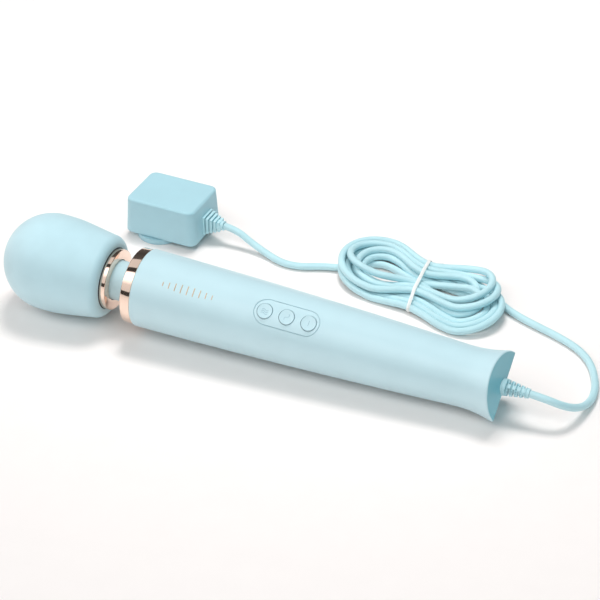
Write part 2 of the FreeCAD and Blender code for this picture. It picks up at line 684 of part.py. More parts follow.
def cord_tube(label, points):
    """A round cord along a route; its volume is compared with section times length."""
    path, radii = tube_path(points)
    radius = size("lead_diameter") / 2
    heading = (points[1] - points[0]).normalize()
    section = Part.Wire([Part.makeCircle(radius, points[0], heading)])
    solid = path.makePipeShell([section], True, False)
    expected = math.pi * radius ** 2 * path.Length
    print("%s: length %.1f, smallest radius %.1f, volume ratio %.4f"
          % (label, path.Length, min(radii), solid.Volume / expected))
    print("  radii", ["%.0f" % value for value in radii])
    return node(label, fixed(solid, label), FreeCAD.Placement())


tail_exit = wand.multVec(Vec(size("relief_end"), 0, 0))
tail_route = [tail_exit] + [Vec(*place) for place in (
    (188.0, 0.2, 19.6), (197.0, 3.0, 15.6), (203.0, 9.8, 10.3), (207.0, 19.5, 5.4),
    (209.2, 31.5, 2.6), (208.0, 44.0, 2.5), (203.8, 56.5, 2.5), (197.2, 69.0, 2.5),
    (186.5, 79.5, 2.5), (171.0, 87.0, 2.5), (156.0, 92.3, 4.2), (142.3, 97.6, 6.9),
    (130.0, 104.2, 8.6))]
cord_tube("cord_tail_run", tail_route)

adapter_exit = adapter.multVec(Vec(size("case_length") / 2 + size("boot_reach"), 0, size("cord_height")))
adapter_route = [adapter_exit] + [Vec(*place) for place in (
    (-63.5, 107.2, 12.2), (-52.0, 105.2, 6.4), (-39.0, 101.5, 2.9), (-25.0, 95.6, 2.5),
    (-12.0, 96.2, 2.5), (0.5, 102.0, 2.6), (13.5, 105.0, 4.2))]
cord_tube("cord_adapter_run", adapter_route)

# ---------------------------------------------------------------- hank and its tie


def hank_outline():
    """Two lobes and a waist, as seen from above."""
    corners = [(9, 120), (13, 135), (29, 141.5), (48, 136), (68, 126.5), (85, 123.5), (108, 124),
               (124, 113), (133, 97), (134, 80), (122, 66), (103, 66.5), (84, 73), (70, 77),
               (50, 77.5), (32, 83), (16, 100)]
    curve = Part.BSplineCurve()
    curve.interpolate([Vec(x, y, 0) for x, y in corners], PeriodicFlag=True)
    return Part.Face(Part.Wire(curve.toShape()))


def hank_solid():
    height = size("hank_top - hank_bottom")
    slab = hank_outline().extrude(Vec(0, 0, height))
    slab.translate(Vec(0, 0, size("hank_bottom")))
    rims = [edge for edge in slab.Edges
            if abs(edge.BoundBox.ZMax - edge.BoundBox.ZMin) < 1e-3]
    return slab.makeFillet(size("hank_round"), rims)


hank = hank_solid()
node("cord_hank", fixed(hank, "cord_hank"), FreeCAD.Placement())

thick = size("tie_thick")
tie_front = size("tie_x") - size("tie_width") / 2
waist_slice = hank.common(Part.makeBox(size("tie_width"), 100, 20, Vec(tie_front, 50, 0)))
waist = waist_slice.optimalBoundingBox(False)
tie_block = Part.makeBox(size("tie_width"), waist.YLength + 2 * thick, waist.ZLength + 2 * thick,
                         Vec(tie_front, waist.YMin - thick, waist.ZMin - thick))
long_edges = [edge for edge in tie_block.Edges if abs(edge.tangentAt(edge.FirstParameter).x) > 0.9]
tie_band = tie_block.makeFillet(size("hank_round + tie_thick"), long_edges)
node("hank_tie", fixed(tie_band.cut(hank), "hank_tie"), FreeCAD.Placement())

# ---------------------------------------------------------------- adapter


def case_form(inset, low, high):
    """The adapter's tapered, round-cornered block between two heights."""
    draft = math.tan(math.radians(size("case_draft_deg")))
    sections = []
    for height in (low, high):
        pull = inset + draft * (height - size("case_bottom"))
        half_x = size("case_length") / 2 - pull
        half_y = size("case_width") / 2 - pull
        corner = max(size("case_corner") - inset, 1.0)
        box = Part.makeBox(2 * half_x, 2 * half_y, 1, Vec(-half_x, -half_y, height))
        upright = [edge for edge in box.Edges if abs(edge.tangentAt(edge.FirstParameter).z) > 0.9]
        face = min(box.makeFillet(corner, upright).Faces, key=lambda item: item.CenterOfMass.z)
        sections.append(face.OuterWire)
    return Part.makeLoft(sections, True, True)


def softened(solid, height, radius):
    """Round the rim of a solid at one height."""
    rim = [edge for edge in solid.Edges
           if abs(edge.BoundBox.ZMax - height) < 1e-4 and abs(edge.BoundBox.ZMin - height) < 1e-4]
    return solid.makeFillet(radius, rim)


low, high = size("case_bottom"), size("case_top")
wall = size("case_wall")
case_outside = softened(case_form(0, low, high), high, size("case_edge"))
case_outside = softened(case_outside, low, size("case_foot_round"))
relief_socket = rod(size("case_length") / 2 - 6, size("case_length") / 2 + 6, "boot_socket", z="cord_height")
node("adapter_case", cut(fixed(case_outside), fixed(case_form(wall, low - 1, high - wall)),
                         relief_socket), adapter)
disc_centre = ("disc_offset_x", "disc_offset_y")
pivot_x = size("disc_offset_x + pivot_x")


def boss(grow, z0, z1):
    """The block of the pin module that stands inside the adapter, grown by a clearance."""
    return block(pivot_x - size("boss_front") - grow, pivot_x + size("boss_rear") + grow,
                 size("disc_offset_y - boss_half_width") - grow,
                 size("disc_offset_y + boss_half_width") + grow, z0, z1)


base_plate = fixed(case_form(wall + 0.1, low, low + size("base_thick")))
node("adapter_base", cut(base_plate, boss(size("boss_gap"), 0, 20)), adapter)
half_pitch = size("blade_pitch") / 2
gap = size("fold_gap")


def blade_slot(side):
    """The slot that one folded blade lies in."""
    centre = size("disc_offset_y") + side * half_pitch
    half = size("blade_thick") / 2 + gap
    height = size("pivot_height") + size("blade_width") / 2 + gap
    return block(pivot_x, pivot_x + size("blade_length") + gap + 0.5, centre - half, centre + half, -1, height)


trough = block(pivot_x - size("pivot_radius") - gap, pivot_x + size("pivot_radius") + gap,
               size("disc_offset_y - pivot_half") - gap, size("disc_offset_y + pivot_half") + gap, -1,
               size("pivot_height + pivot_radius") + gap)
module_form = fuse(post(*disc_centre, 0, "disc_thick", "disc_radius"),
                   boss(0, "disc_thick - 0.1", "boss_top"))
node("pin_module", cut(module_form, trough, blade_slot(1), blade_slot(-1)), adapter)


def blade(side):
    """One flat pin that folds about the pivot bar."""
    centre = size("disc_offset_y") + side * half_pitch
    half = size("blade_thick") / 2
    low_edge = size("pivot_height") - size("blade_width") / 2
    return block(pivot_x, pivot_x + size("blade_length"), centre - half, centre + half,
                 low_edge, low_edge + size("blade_width"))


pivot_bar = doc.addObject("Part::Cylinder", "pivot_bar")
bind(pivot_bar, Radius="pivot_radius", Height="pivot_half + pivot_half")
pivot_bar.Placement = FreeCAD.Placement(
    Vec(pivot_x, size("disc_offset_y - pivot_half"), size("pivot_height")),
    FreeCAD.Rotation(Vec(1, 0, 0), -90))
blades = [blade(1), blade(-1)]
node("blade_pivot", cut(pivot_bar, *[blade(1), blade(-1)]), adapter)
node("plug_blades", group(*blades), adapter)

node("transformer", fuse(block(-2, 18, 2.5, 15, "boss_top + 2.4", "boss_top + 12"),
                         block(2, 14, 0.5, 16, "boss_top + 3.5", "boss_top + 11")), adapter)
node("adapter_board", group(block(-21, 20, -14, 15, "boss_top + 0.4", "boss_top + 2")), adapter)
node("adapter_capacitors", group(post(-14, 6, "boss_top + 2", "boss_top + 13", "4.5"),
                                 post(-13, -6, "boss_top + 2", "boss_top + 11", "4")), adapter)


def stepped_relief():
    """Square ribs that shrink in steps along a round core."""
    wall_face = size("case_length") / 2
    pieces = [rod(wall_face - size("boot_root"), wall_face + size("boot_reach"), "boot_radius",
                  z="cord_height")]
    for i in range(int(size("rib_count"))):
        half = size("rib_half") - size("rib_step") * i
        x = wall_face - 0.9 + i * size("rib_pitch")
        pieces.append(block(x, x + size("rib_thick"), -half, half,
                            size("cord_height") - half, size("cord_height") + half))
    return fuse(*pieces)


case_wall_tool = fixed(case_outside)
node("adapter_strain_relief", cut(stepped_relief(), common(case_wall_tool, cut(
    block(10, 40, -20, 20, 0, 30), rod(10, 40, "boot_radius", z="cord_height")))), adapter)

# ---------------------------------------------------------------- checks and export

doc.recompute()
for item in doc.Objects:
    if "Invalid" in item.State or "Error" in item.State:
        raise RuntimeError("%s did not build" % item.Label)
os.makedirs("parts", exist_ok=True)
for item in nodes:
    shape = item.Shape
    if shape.isNull() or not shape.isValid() or not shape.Solids or shape.Volume <= 0:
        raise RuntimeError("%s has no valid shape" % item.Label)
    shape.exportStep("parts/%s.step" % item.Label)
print("%d pieces written, tilt %.3f degrees, wand from x %.2f to %.2f"
      % (len(nodes), math.degrees(tilt), -reach / 2, reach / 2))
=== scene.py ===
import json
import math

import bpy
import numpy as np
from mathutils import Matrix, Vector
from mathutils.bvhtree import BVHTree


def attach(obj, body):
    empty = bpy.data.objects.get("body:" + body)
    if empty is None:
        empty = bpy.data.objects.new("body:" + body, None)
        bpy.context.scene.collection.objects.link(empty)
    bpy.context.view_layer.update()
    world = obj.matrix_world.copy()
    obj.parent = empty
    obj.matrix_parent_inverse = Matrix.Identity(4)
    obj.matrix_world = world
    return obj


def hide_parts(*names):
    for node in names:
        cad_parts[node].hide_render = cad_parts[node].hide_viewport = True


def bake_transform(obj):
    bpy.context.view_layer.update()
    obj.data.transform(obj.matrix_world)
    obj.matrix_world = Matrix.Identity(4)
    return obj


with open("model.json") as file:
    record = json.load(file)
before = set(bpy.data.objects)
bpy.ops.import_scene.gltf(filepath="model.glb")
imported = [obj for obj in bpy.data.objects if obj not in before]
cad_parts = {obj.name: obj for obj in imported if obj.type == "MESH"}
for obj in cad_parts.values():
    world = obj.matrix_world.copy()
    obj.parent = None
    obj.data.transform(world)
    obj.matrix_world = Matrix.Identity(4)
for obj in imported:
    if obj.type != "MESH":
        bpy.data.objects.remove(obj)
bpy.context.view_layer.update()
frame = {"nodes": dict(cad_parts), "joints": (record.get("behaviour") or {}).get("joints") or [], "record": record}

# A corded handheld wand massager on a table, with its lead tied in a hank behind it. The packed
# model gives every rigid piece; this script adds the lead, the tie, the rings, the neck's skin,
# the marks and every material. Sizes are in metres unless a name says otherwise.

MM = 0.001

# ---------------------------------------------------------------- camera

camera = bpy.data.objects.new("camera", bpy.data.cameras.new("camera"))
bpy.context.collection.objects.link(camera)
camera.data.sensor_width = 36.0
camera.data.lens = 116.95
camera.data.clip_start = 0.05
camera.data.clip_end = 50.0
camera.location = (0.4061, -0.9051, 0.7467)
camera.rotation_mode = "QUATERNION"
camera.rotation_quaternion = Vector((-0.3141, 0.7520, -0.5796)).to_track_quat("-Z", "Y")
bpy.context.scene.camera = camera
bpy.context.scene.view_settings.view_transform = "Standard"

# ---------------------------------------------------------------- the lead's route

# Where the lead isn't coiled, its points are those of the model's two free runs. The last three
# of the tail run and the one nearest the hank on the adapter run lie up to 6 mm lower, so that
# the lead goes in under the hank.
LEAD = 0.0048
TIE_X = 0.071
TAIL_ROUTE = [
    (0.1779, 0.0, 0.0209), (0.1880, 0.0002, 0.0196), (0.1970, 0.0030, 0.0156),
    (0.2030, 0.0098, 0.0103), (0.2070, 0.0195, 0.0054), (0.2092, 0.0315, 0.0026),
    (0.2080, 0.0440, 0.0025), (0.2038, 0.0565, 0.0025), (0.1972, 0.0690, 0.0025),
    (0.1865, 0.0795, 0.0025), (0.1710, 0.0870, 0.0025), (0.1560, 0.0923, 0.0026),
    (0.1423, 0.0976, 0.0026), (0.1300, 0.1042, 0.0026)]
ADAPTER_ROUTE = [
    (0.0135, 0.1050, 0.0028), (0.0005, 0.1020, 0.0026), (-0.0120, 0.0962, 0.0025),
    (-0.0250, 0.0956, 0.0025), (-0.0390, 0.1015, 0.0029), (-0.0520, 0.1052, 0.0064),
    (-0.0635, 0.1072, 0.0122), (-0.0729, 0.1074, 0.0133)]

# How the lead enters the hank and leaves it, inside the hank itself.
INTO_HANK = [(0.1180, 0.1120, 0.0026), (0.1040, 0.1190, 0.0026), (0.0870, 0.1240, 0.0036)]
OUT_OF_HANK = [
    (0.0710, 0.1080, 0.0038), (0.0600, 0.1150, 0.0028), (0.0480, 0.1205, 0.0025),
    (0.0375, 0.1215, 0.0025), (0.0285, 0.1160, 0.0025), (0.0215, 0.1095, 0.0025)]

# The hank's half turns in order along the lead, left and right of the tie by turns. Each one
# is: (y, z) where it leaves the tie, its first corner (x, y, z), how far out and how high its
# end lies (x, z), and its second corner. It comes back to the tie where the next one starts.
HALF_TURNS = [
    ((0.1255, 0.0038), (0.039, 0.1405, 0.0025), (0.0130, 0.0075), (0.044, 0.0820, 0.0025)),
    ((0.0810, 0.0038), (0.109, 0.0670, 0.0025), (0.1315, 0.0076), (0.109, 0.1175, 0.0025)),
    ((0.1206, 0.0038), (0.041, 0.1355, 0.0025), (0.0180, 0.0075), (0.045, 0.0870, 0.0025)),
    ((0.0859, 0.0038), (0.107, 0.0720, 0.0025), (0.1265, 0.0076), (0.107, 0.1125, 0.0025)),
    ((0.1157, 0.0038), (0.042, 0.1305, 0.0025), (0.0229, 0.0075), (0.045, 0.0920, 0.0025)),
    ((0.0908, 0.0038), (0.106, 0.0770, 0.0025), (0.1216, 0.0076), (0.106, 0.1075, 0.0025)),
    ((0.1108, 0.0038), (0.043, 0.1260, 0.0072), (0.0278, 0.0078), (0.045, 0.0960, 0.0055)),
    ((0.0982, 0.0076), (0.101, 0.0907, 0.0085), (0.1200, 0.0125), (0.102, 0.1265, 0.0100)),
    ((0.1230, 0.0078), (0.038, 0.1410, 0.0075), (0.0122, 0.0098), (0.042, 0.0845, 0.0070)),
    ((0.0932, 0.0076), (0.103, 0.0834, 0.0072), (0.1240, 0.0120), (0.104, 0.1220, 0.0076)),
    ((0.1181, 0.0078), (0.040, 0.1345, 0.0088), (0.0180, 0.0098), (0.042, 0.0945, 0.0078)),
    ((0.1010, 0.0058), (0.097, 0.0925, 0.0040), (0.1110, 0.0065), (0.097, 0.1195, 0.0076)),
    ((0.1130, 0.0078), (0.042, 0.1285, 0.0078), (0.0240, 0.0090), (0.044, 0.0895, 0.0068)),
    ((0.0957, 0.0038), (0.101, 0.0810, 0.0060), (0.1165, 0.0085), (0.101, 0.1085, 0.0055)),
]


def mixed(a, b, share):
    """The place a share of the way from a to b."""
    return tuple(p + (q - p) * share for p, q in zip(a, b))


def eased(tie, corner, share):
    """A place between the tie and a corner, on a line that leaves both of them level."""
    ease = share * share * (3 - 2 * share)
    return (mixed(tie, corner, share)[0], *mixed(tie, corner, ease)[1:])


def half_turn(start, first, end, second, finish):
    """Out from the tie to the first corner, round the end, and back from the second."""
    start = (TIE_X, *start)
    finish = (TIE_X, *finish)
    points = [start, eased(start, first, 0.34), eased(start, first, 0.68), first]
    for turn in (60, 30, 0, -30, -60):
        out = math.cos(math.radians(turn))
        x, y, z = mixed(first, second, (1 - math.sin(math.radians(turn))) / 2)
        points.append((x + (end[0] - x) * out, y, z + (end[1] - z) * out))
    return points + [second, eased(finish, second, 0.68), eased(finish, second, 0.34)]


def hank_points():
    """Every half turn's points; each finishes where the next one starts."""
    finishes = [half[0] for half in HALF_TURNS[1:]] + [OUT_OF_HANK[0][1:]]
    return [point for half, finish in zip(HALF_TURNS, finishes)
            for point in half_turn(*half, finish)]


def line_weights(count, steps=4):
    """Weights that turn a quadratic spline's control points into points along it."""
    rows = []
    for span in range(count - 2):
        for t in np.arange(steps) / steps:
            row = np.zeros(count)
            row[span:span + 3] = (0.5 * (1 - t) ** 2, 0.5 + t * (1 - t), 0.5 * t * t)
            rows.append(row)
    return np.array(rows)


ROUNDS = 360
SINK = 0.015 * MM            # how far a strand falls in the first round, fading out to the last
NEIGHBOURS = 14              # samples this near along the lead don't push each other
PUSH_GAIN = 1.2
SMOOTHING = 0.05             # share of each shift that is taken from the points beside it
PULL_BACK = 0.997            # share of a sideways shift that is left after each round
TABLE_GAP = 0.15 * MM
TIE_LIFT = 1.3 * MM
TIE_REACH = 8 * MM


def lying_height(x):
    """Lowest height of the lead's middle: on the table, or on the tie where it passes under."""
    return LEAD / 2 + TABLE_GAP + TIE_LIFT * np.exp(-((x - TIE_X) / TIE_REACH) ** 2)


def settled(points, in_hank):
    """Let the hank's strands push each other apart and sink until they lie on each other.

    Only the hank's own points move. The lead's route outside the hank stays as it is given."""
    start = np.array(points)
    spots = start.copy()
    weights = line_weights(len(spots))
    samples = len(weights)
    order = np.arange(samples)
    first, second = np.nonzero(np.triu(np.abs(np.subtract.outer(order, order)) > NEIGHBOURS))
    for step in range(ROUNDS):
        line = weights @ spots
        offset = line[first] - line[second]
        distance = np.linalg.norm(offset, axis=1)
        close = distance < LEAD
        near = offset[close] / np.maximum(distance[close], 0.05 * MM)[:, None]
        near *= (LEAD - distance[close])[:, None] / 2
        push = np.zeros_like(line)
        np.add.at(push, first[close], near)
        np.add.at(push, second[close], -near)
        touches = np.bincount(np.concatenate([first[close], second[close]]), minlength=samples)
        push /= np.maximum(touches, 1)[:, None]
        push[:, 2] -= SINK * (1 - step / ROUNDS)
        push[:, 2] += np.maximum(0, lying_height(line[:, 0]) - line[:, 2] - push[:, 2])
        shift = spots + PUSH_GAIN * (weights.T @ push) / weights.sum(axis=0)[:, None] - start
        beside = shift.copy()
        beside[1:-1] = (shift[:-2] + shift[2:]) / 2
        shift = (1 - SMOOTHING) * shift + SMOOTHING * beside
        shift[:, :2] *= PULL_BACK
        spots[in_hank] = (start + shift)[in_hank]
    return [tuple(spot) for spot in spots]


lead_points = TAIL_ROUTE + INTO_HANK + hank_points() + OUT_OF_HANK + ADAPTER_ROUTE
in_hank = np.zeros(len(lead_points), bool)
in_hank[len(TAIL_ROUTE):len(lead_points) - len(ADAPTER_ROUTE)] = True
lead_points = settled(lead_points, in_hank)


def spline_cord(name, points, diameter):
    """One smooth open NURBS line with a round section."""
    curve = bpy.data.curves.new(name, "CURVE")
    curve.dimensions = "3D"
    spline = curve.splines.new("NURBS")
    spline.points.add(len(points) - 1)
    for point, place in zip(spline.points, points):
        point.co = (*place, 1.0)
        point.radius = diameter / 2
    spline.order_u = 3
    spline.use_endpoint_u = True
    spline.resolution_u = 10
    curve.bevel_depth = 1.0
    curve.bevel_resolution = 6
    curve.use_fill_caps = True
    item = bpy.data.objects.new(name, curve)
    bpy.context.collection.objects.link(item)
    return item


lead = spline_cord("lead", lead_points, LEAD)
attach(lead, "handle")
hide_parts("cord_tail_run", "cord_hank", "cord_adapter_run")

# ---------------------------------------------------------------- mesh builders


NECK_PIVOT = 86.0


def wand_frame():
    """Where the wand lies: x along it from the tip of the head, z out of the buttons."""
    joints = {joint["name"]: joint for joint in frame["joints"]}
    along = Vector(joints["rotor_spin"]["axis"])
    across = Vector(joints["neck_bend"]["axis"])
    out = Vector(joints["neck_swing"]["axis"])
    turn = Matrix((along, across, out)).transposed().to_4x4()
    tip = Vector(joints["neck_bend"]["pos_m"]) - NECK_PIVOT * MM * along
    return Matrix.Translation(tip) @ turn


WAND = wand_frame()


def mesh_piece(name, vertices, faces, body, slot, sharp_deg=35):
    """A new piece from vertices in metres, in the shared frame."""
    mesh = bpy.data.meshes.new(name)
    mesh.from_pydata([tuple(place) for place in vertices], [], faces)
    mesh.validate()
    mesh.shade_smooth()
    mesh.set_sharp_from_angle(angle=math.radians(sharp_deg))
    item = bpy.data.objects.new(name, mesh)
    bpy.context.collection.objects.link(item)
    if body:
        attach(item, body)
    return item


def softened(corners, radius, steps=4):
    """A closed outline whose corners are rounded."""
    outline = []
    for i, corner in enumerate(corners):
        corner = Vector(corner)
        before = Vector(corners[i - 1])
        after = Vector(corners[(i + 1) % len(corners)])
        reach = min(radius, (before - corner).length / 2.1, (after - corner).length / 2.1)
        enter = corner + (before - corner).normalized() * reach
        leave = corner + (after - corner).normalized() * reach
        for share in np.linspace(0, 1, steps):
            outline.append(enter.lerp(corner, share).lerp(corner.lerp(leave, share), share))
    return outline


def lathed(name, outline, body, slot, steps=192):
    """A closed outline of (distance along, radius) in millimetres, turned about the wand."""
    vertices = []
    for turn in np.linspace(0, 2 * math.pi, steps, endpoint=False):
        vertices += [WAND @ (Vector((x, r * math.cos(turn), r * math.sin(turn))) * MM)
                     for x, r in outline]
    count = len(outline)
    faces = [(s * count + i, s * count + (i + 1) % count,
              (s + 1) % steps * count + (i + 1) % count, (s + 1) % steps * count + i)
             for s in range(steps) for i in range(count)]
    return mesh_piece(name, vertices, faces, body, slot)


def swept(path, section, across, closed=False):
    """Vertices and faces of a section carried along a path, its first axis held to across."""
    path = [Vector(place) for place in path]
    count = len(section)
    vertices = []
    for i, place in enumerate(path):
        before = path[i - 1] if closed or i else place
        after = path[(i + 1) % len(path)] if closed or i < len(path) - 1 else place
        heading = (after - before).normalized()
        side = (Vector(across) - heading * heading.dot(Vector(across))).normalized()
        up = heading.cross(side)
        vertices += [place + side * u + up * v for u, v in section]
    rings = len(path) if closed else len(path) - 1
    faces = [(s * count + i, s * count + (i + 1) % count,
              (s + 1) % len(path) * count + (i + 1) % count, (s + 1) % len(path) * count + i)
             for s in range(rings) for i in range(count)]
    if not closed:
        faces += [tuple(range(count))[::-1], tuple(range(rings * count, (rings + 1) * count))]
    return vertices, faces


def joined(parts):
    """Several (vertices, faces) pairs as one."""
    vertices = []
    faces = []
    for some, their_faces in parts:
        faces += [tuple(index + len(vertices) for index in face) for face in their_faces]
        vertices += some
    return vertices, faces


def round_section(radius, steps=10):
    turns = np.linspace(0, 2 * math.pi, steps, endpoint=False)
    return [(radius * math.cos(turn), radius * math.sin(turn)) for turn in turns]


# ---------------------------------------------------------------- the hank's tie

TIE_WIDTH = 2.3 * MM
TIE_CORE = 0.5 * MM
TIE_WING = 0.22 * MM
TIE_SLANT = -0.06
TIE_GAP = 0.05 * MM
TWIST_HEADING = Vector((0.86, 0.42, -0.12)).normalized()
TWIST_LENGTH = 8 * MM
TWIST_SPREAD = 0.55 * MM
TWIST_TURNS = 2.5


def strands_at_tie():
    """(y, z) of the lead's middle wherever it passes through the tie."""
    line = line_weights(len(lead_points), 8) @ np.array(lead_points)
    side = line[:, 0] - TIE_X
    crossings = np.nonzero(side[:-1] * side[1:] <= 0)[0]
    return [line[i, 1:] for i in crossings if abs(side[i + 1] - side[i]) > 1e-9]


def hull(places):
    """The corners of the convex outline round some places, counter-clockwise."""
    places = sorted(map(tuple, places))

    def bends_left(a, b, c):
        return (b[0] - a[0]) * (c[1] - b[1]) - (b[1] - a[1]) * (c[0] - b[0]) > 0

    def half(order):
        chain = []
        for place in order:
            while len(chain) > 1 and not bends_left(chain[-2], chain[-1], place):
                chain.pop()
            chain.append(place)
        return chain[:-1]

    return half(places) + half(places[::-1])


def even_loop(corners, count):
    """The same loop with evenly spaced places."""
    loop = np.array(corners + corners[:1])
    run = np.concatenate([[0], np.cumsum(np.linalg.norm(np.diff(loop, axis=0), axis=1))])
    at = np.linspace(0, run[-1], count, endpoint=False)
    return np.column_stack([np.interp(at, run, loop[:, axis]) for axis in range(2)])


def tie():
    """A plastic-covered wire tie: a flat band with a round core, and its two twisted ends."""
    clear = LEAD / 2 + TIE_CORE + TIE_GAP
    around = [(y + clear * c, z + clear * s) for y, z in strands_at_tie()
              for c, s in round_section(1, 24)]
    loop = even_loop(hull(around), 120)
    middle = loop[:, 0].mean()
    path = [(TIE_X + (y - middle) * TIE_SLANT, y, z) for y, z in loop]
    half = TIE_WIDTH / 2
    band = [(half, -TIE_WING), (half, TIE_WING), (TIE_CORE, TIE_WING), (TIE_CORE / 2, TIE_CORE),
            (-TIE_CORE / 2, TIE_CORE), (-TIE_CORE, TIE_WING), (-half, TIE_WING),
            (-half, -TIE_WING), (-TIE_CORE, -TIE_WING), (-TIE_CORE / 2, -TIE_CORE),
            (TIE_CORE / 2, -TIE_CORE), (TIE_CORE, -TIE_WING)]
    parts = [swept(path, band, (1, 0, 0), closed=True)]
    knot = Vector(path[int(np.argmax(loop[:, 0]))])
    level = TWIST_HEADING.cross(Vector((0, 0, 1))).normalized()
    rise = level.cross(TWIST_HEADING)
    for phase in (0, math.pi):
        twist = []
        for share in np.linspace(0, 1, 40):
            turn = phase + share * TWIST_TURNS * 2 * math.pi
            spread = TWIST_SPREAD * (1 + 0.8 * share ** 4)
            twist.append(knot + TWIST_HEADING * TWIST_LENGTH * share
                         + (level * math.cos(turn) + rise * math.sin(turn)) * spread)
        parts.append(swept(twist, round_section(TIE_CORE), (0, 0, 1)))
    return mesh_piece("hank_wire_tie", *joined(parts), "handle", "tie_white", 50)


wire_tie = tie()
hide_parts("hank_tie")

# ---------------------------------------------------------------- rings and neck

# Places along the wand and radii, in millimetres, from the tip of the head.
HEAD_RING_REAR = 79.4
NECK_RADIUS = 13.05
NECK_WAIST = 0.25
NECK_WALL = 1.0
NECK_FRONT = 78.2
NECK_REAR = 93.3

ring = lathed("head_band", softened([(75.4, 13.35), (75.4, 20.1), (HEAD_RING_REAR, 20.1),
                                      (HEAD_RING_REAR, 13.35)], 0.6), "head", "rose_gold")
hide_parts("head_ring")
collar = lathed("collar_band", softened(
    [(92.4, 13.4), (92.4, 24.8), (99.1, 24.8), (99.1, 22.6), (93.6, 22.6), (93.6, 13.4)], 0.5),
    "handle", "rose_gold")
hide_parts("collar_ring")


def neck_half(name, x0, x1):
    """A stretch of the neck's smooth skin, slightly waisted, with its inner face."""
    along = np.linspace(x0, x1, 13)
    waist = [NECK_RADIUS - NECK_WAIST * math.exp(-((x - NECK_PIVOT) / 3.0) ** 2) for x in along]
    inner = [(x, r - NECK_WALL) for x, r in zip(along[::-1], waist[::-1])]
    return lathed(name, list(zip(along, waist)) + inner, None, "silicone_blue", 128)


neck_rear = neck_half("neck_skin_rear", NECK_PIVOT, NECK_REAR)
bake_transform(neck_rear)
neck_front = neck_half("neck_skin_front", NECK_FRONT, NECK_PIVOT)
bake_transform(neck_front)
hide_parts("neck_sleeve")

# ---------------------------------------------------------------- marks on the wand


def skin_of(name):
    """A node's surface, for laying marks on it."""
    mesh = frame["nodes"][name].data
    return BVHTree.FromPolygons([v.co for v in mesh.vertices], [p.vertices for p in mesh.polygons])


def laid_on(skin, x, y):
    """The place on a surface straight in from above (x, y), both in millimetres."""
    origin = WAND @ Vector((x * MM, y * MM, 60 * MM))
    place, _, _, _ = skin.ray_cast(origin, -WAND.to_3x3().col[2])
    return place


def strokes_piece(name, node, centre, strokes, width, body, slot):
    """Thin lines inlaid in a surface, along strokes given about a centre in millimetres."""
    skin = skin_of(node)
    out = WAND.to_3x3().col[2]
    parts = [swept([laid_on(skin, centre[0] + u, centre[1] + v) for u, v in stroke],
                   round_section(width / 2 * MM), out) for stroke in strokes]
    return mesh_piece(name, *joined(parts), body, slot, 60)


def wave(u0, v0, u1, v1, swing, cycles=1.0, count=25):
    """A sine line between two places."""
    du, dv = u1 - u0, v1 - v0
    length = math.hypot(du, dv)
    return [(u0 + du * t - dv / length * swing * math.sin(2 * math.pi * cycles * t),
             v0 + dv * t + du / length * swing * math.sin(2 * math.pi * cycles * t))
            for t in np.linspace(0, 1, count)]


def straight(u0, v0, u1, v1, count=9):
    return [mixed((u0, v0), (u1, v1), share) for share in np.linspace(0, 1, count)]


ICONS = {
    "pattern": [wave(-2.2, 0.9, 2.2, 0.9, 0.5), wave(-2.2, -0.3, 2.2, -0.3, 0.5),
                wave(-2.2, -1.5, 2.2, -1.5, 0.5)],
    "rhythm": [wave(-0.9, -2.2, 0.9, 2.2, 1.0)],
    "power": [straight(0, -1.8, 0, 1.8)],
}
ICON_LINE = 0.26
for key, strokes in ICONS.items():
    mesh = frame["nodes"]["button_" + key].data
    places = np.array([WAND.inverted() @ v.co for v in mesh.vertices]) / MM
    centre = (places.min(axis=0) + places.max(axis=0)) / 2
    strokes_piece("icon_" + key, "button_" + key, centre[:2], strokes, ICON_LINE, key + "_key",
                  "button_blue")

# A row of plain upright bars, taller towards the middle, where the real one has lettering.
MARK_MIDDLE = (136.0, -1.0)
MARK_BARS = 9
MARK_PITCH = 4.2
MARK_LINE = 0.6
bars = []
for bar in range(MARK_BARS):
    u = (bar - (MARK_BARS - 1) / 2) * MARK_PITCH
    half = 1.0 + 1.9 * math.cos(math.pi * u / (MARK_BARS * MARK_PITCH))
    bars.append(straight(u, -half, u, half, 13))
strokes_piece("level_mark", "handle_shell", MARK_MIDDLE, bars, MARK_LINE, "handle",
              "rose_gold")

# ---------------------------------------------------------------- materials


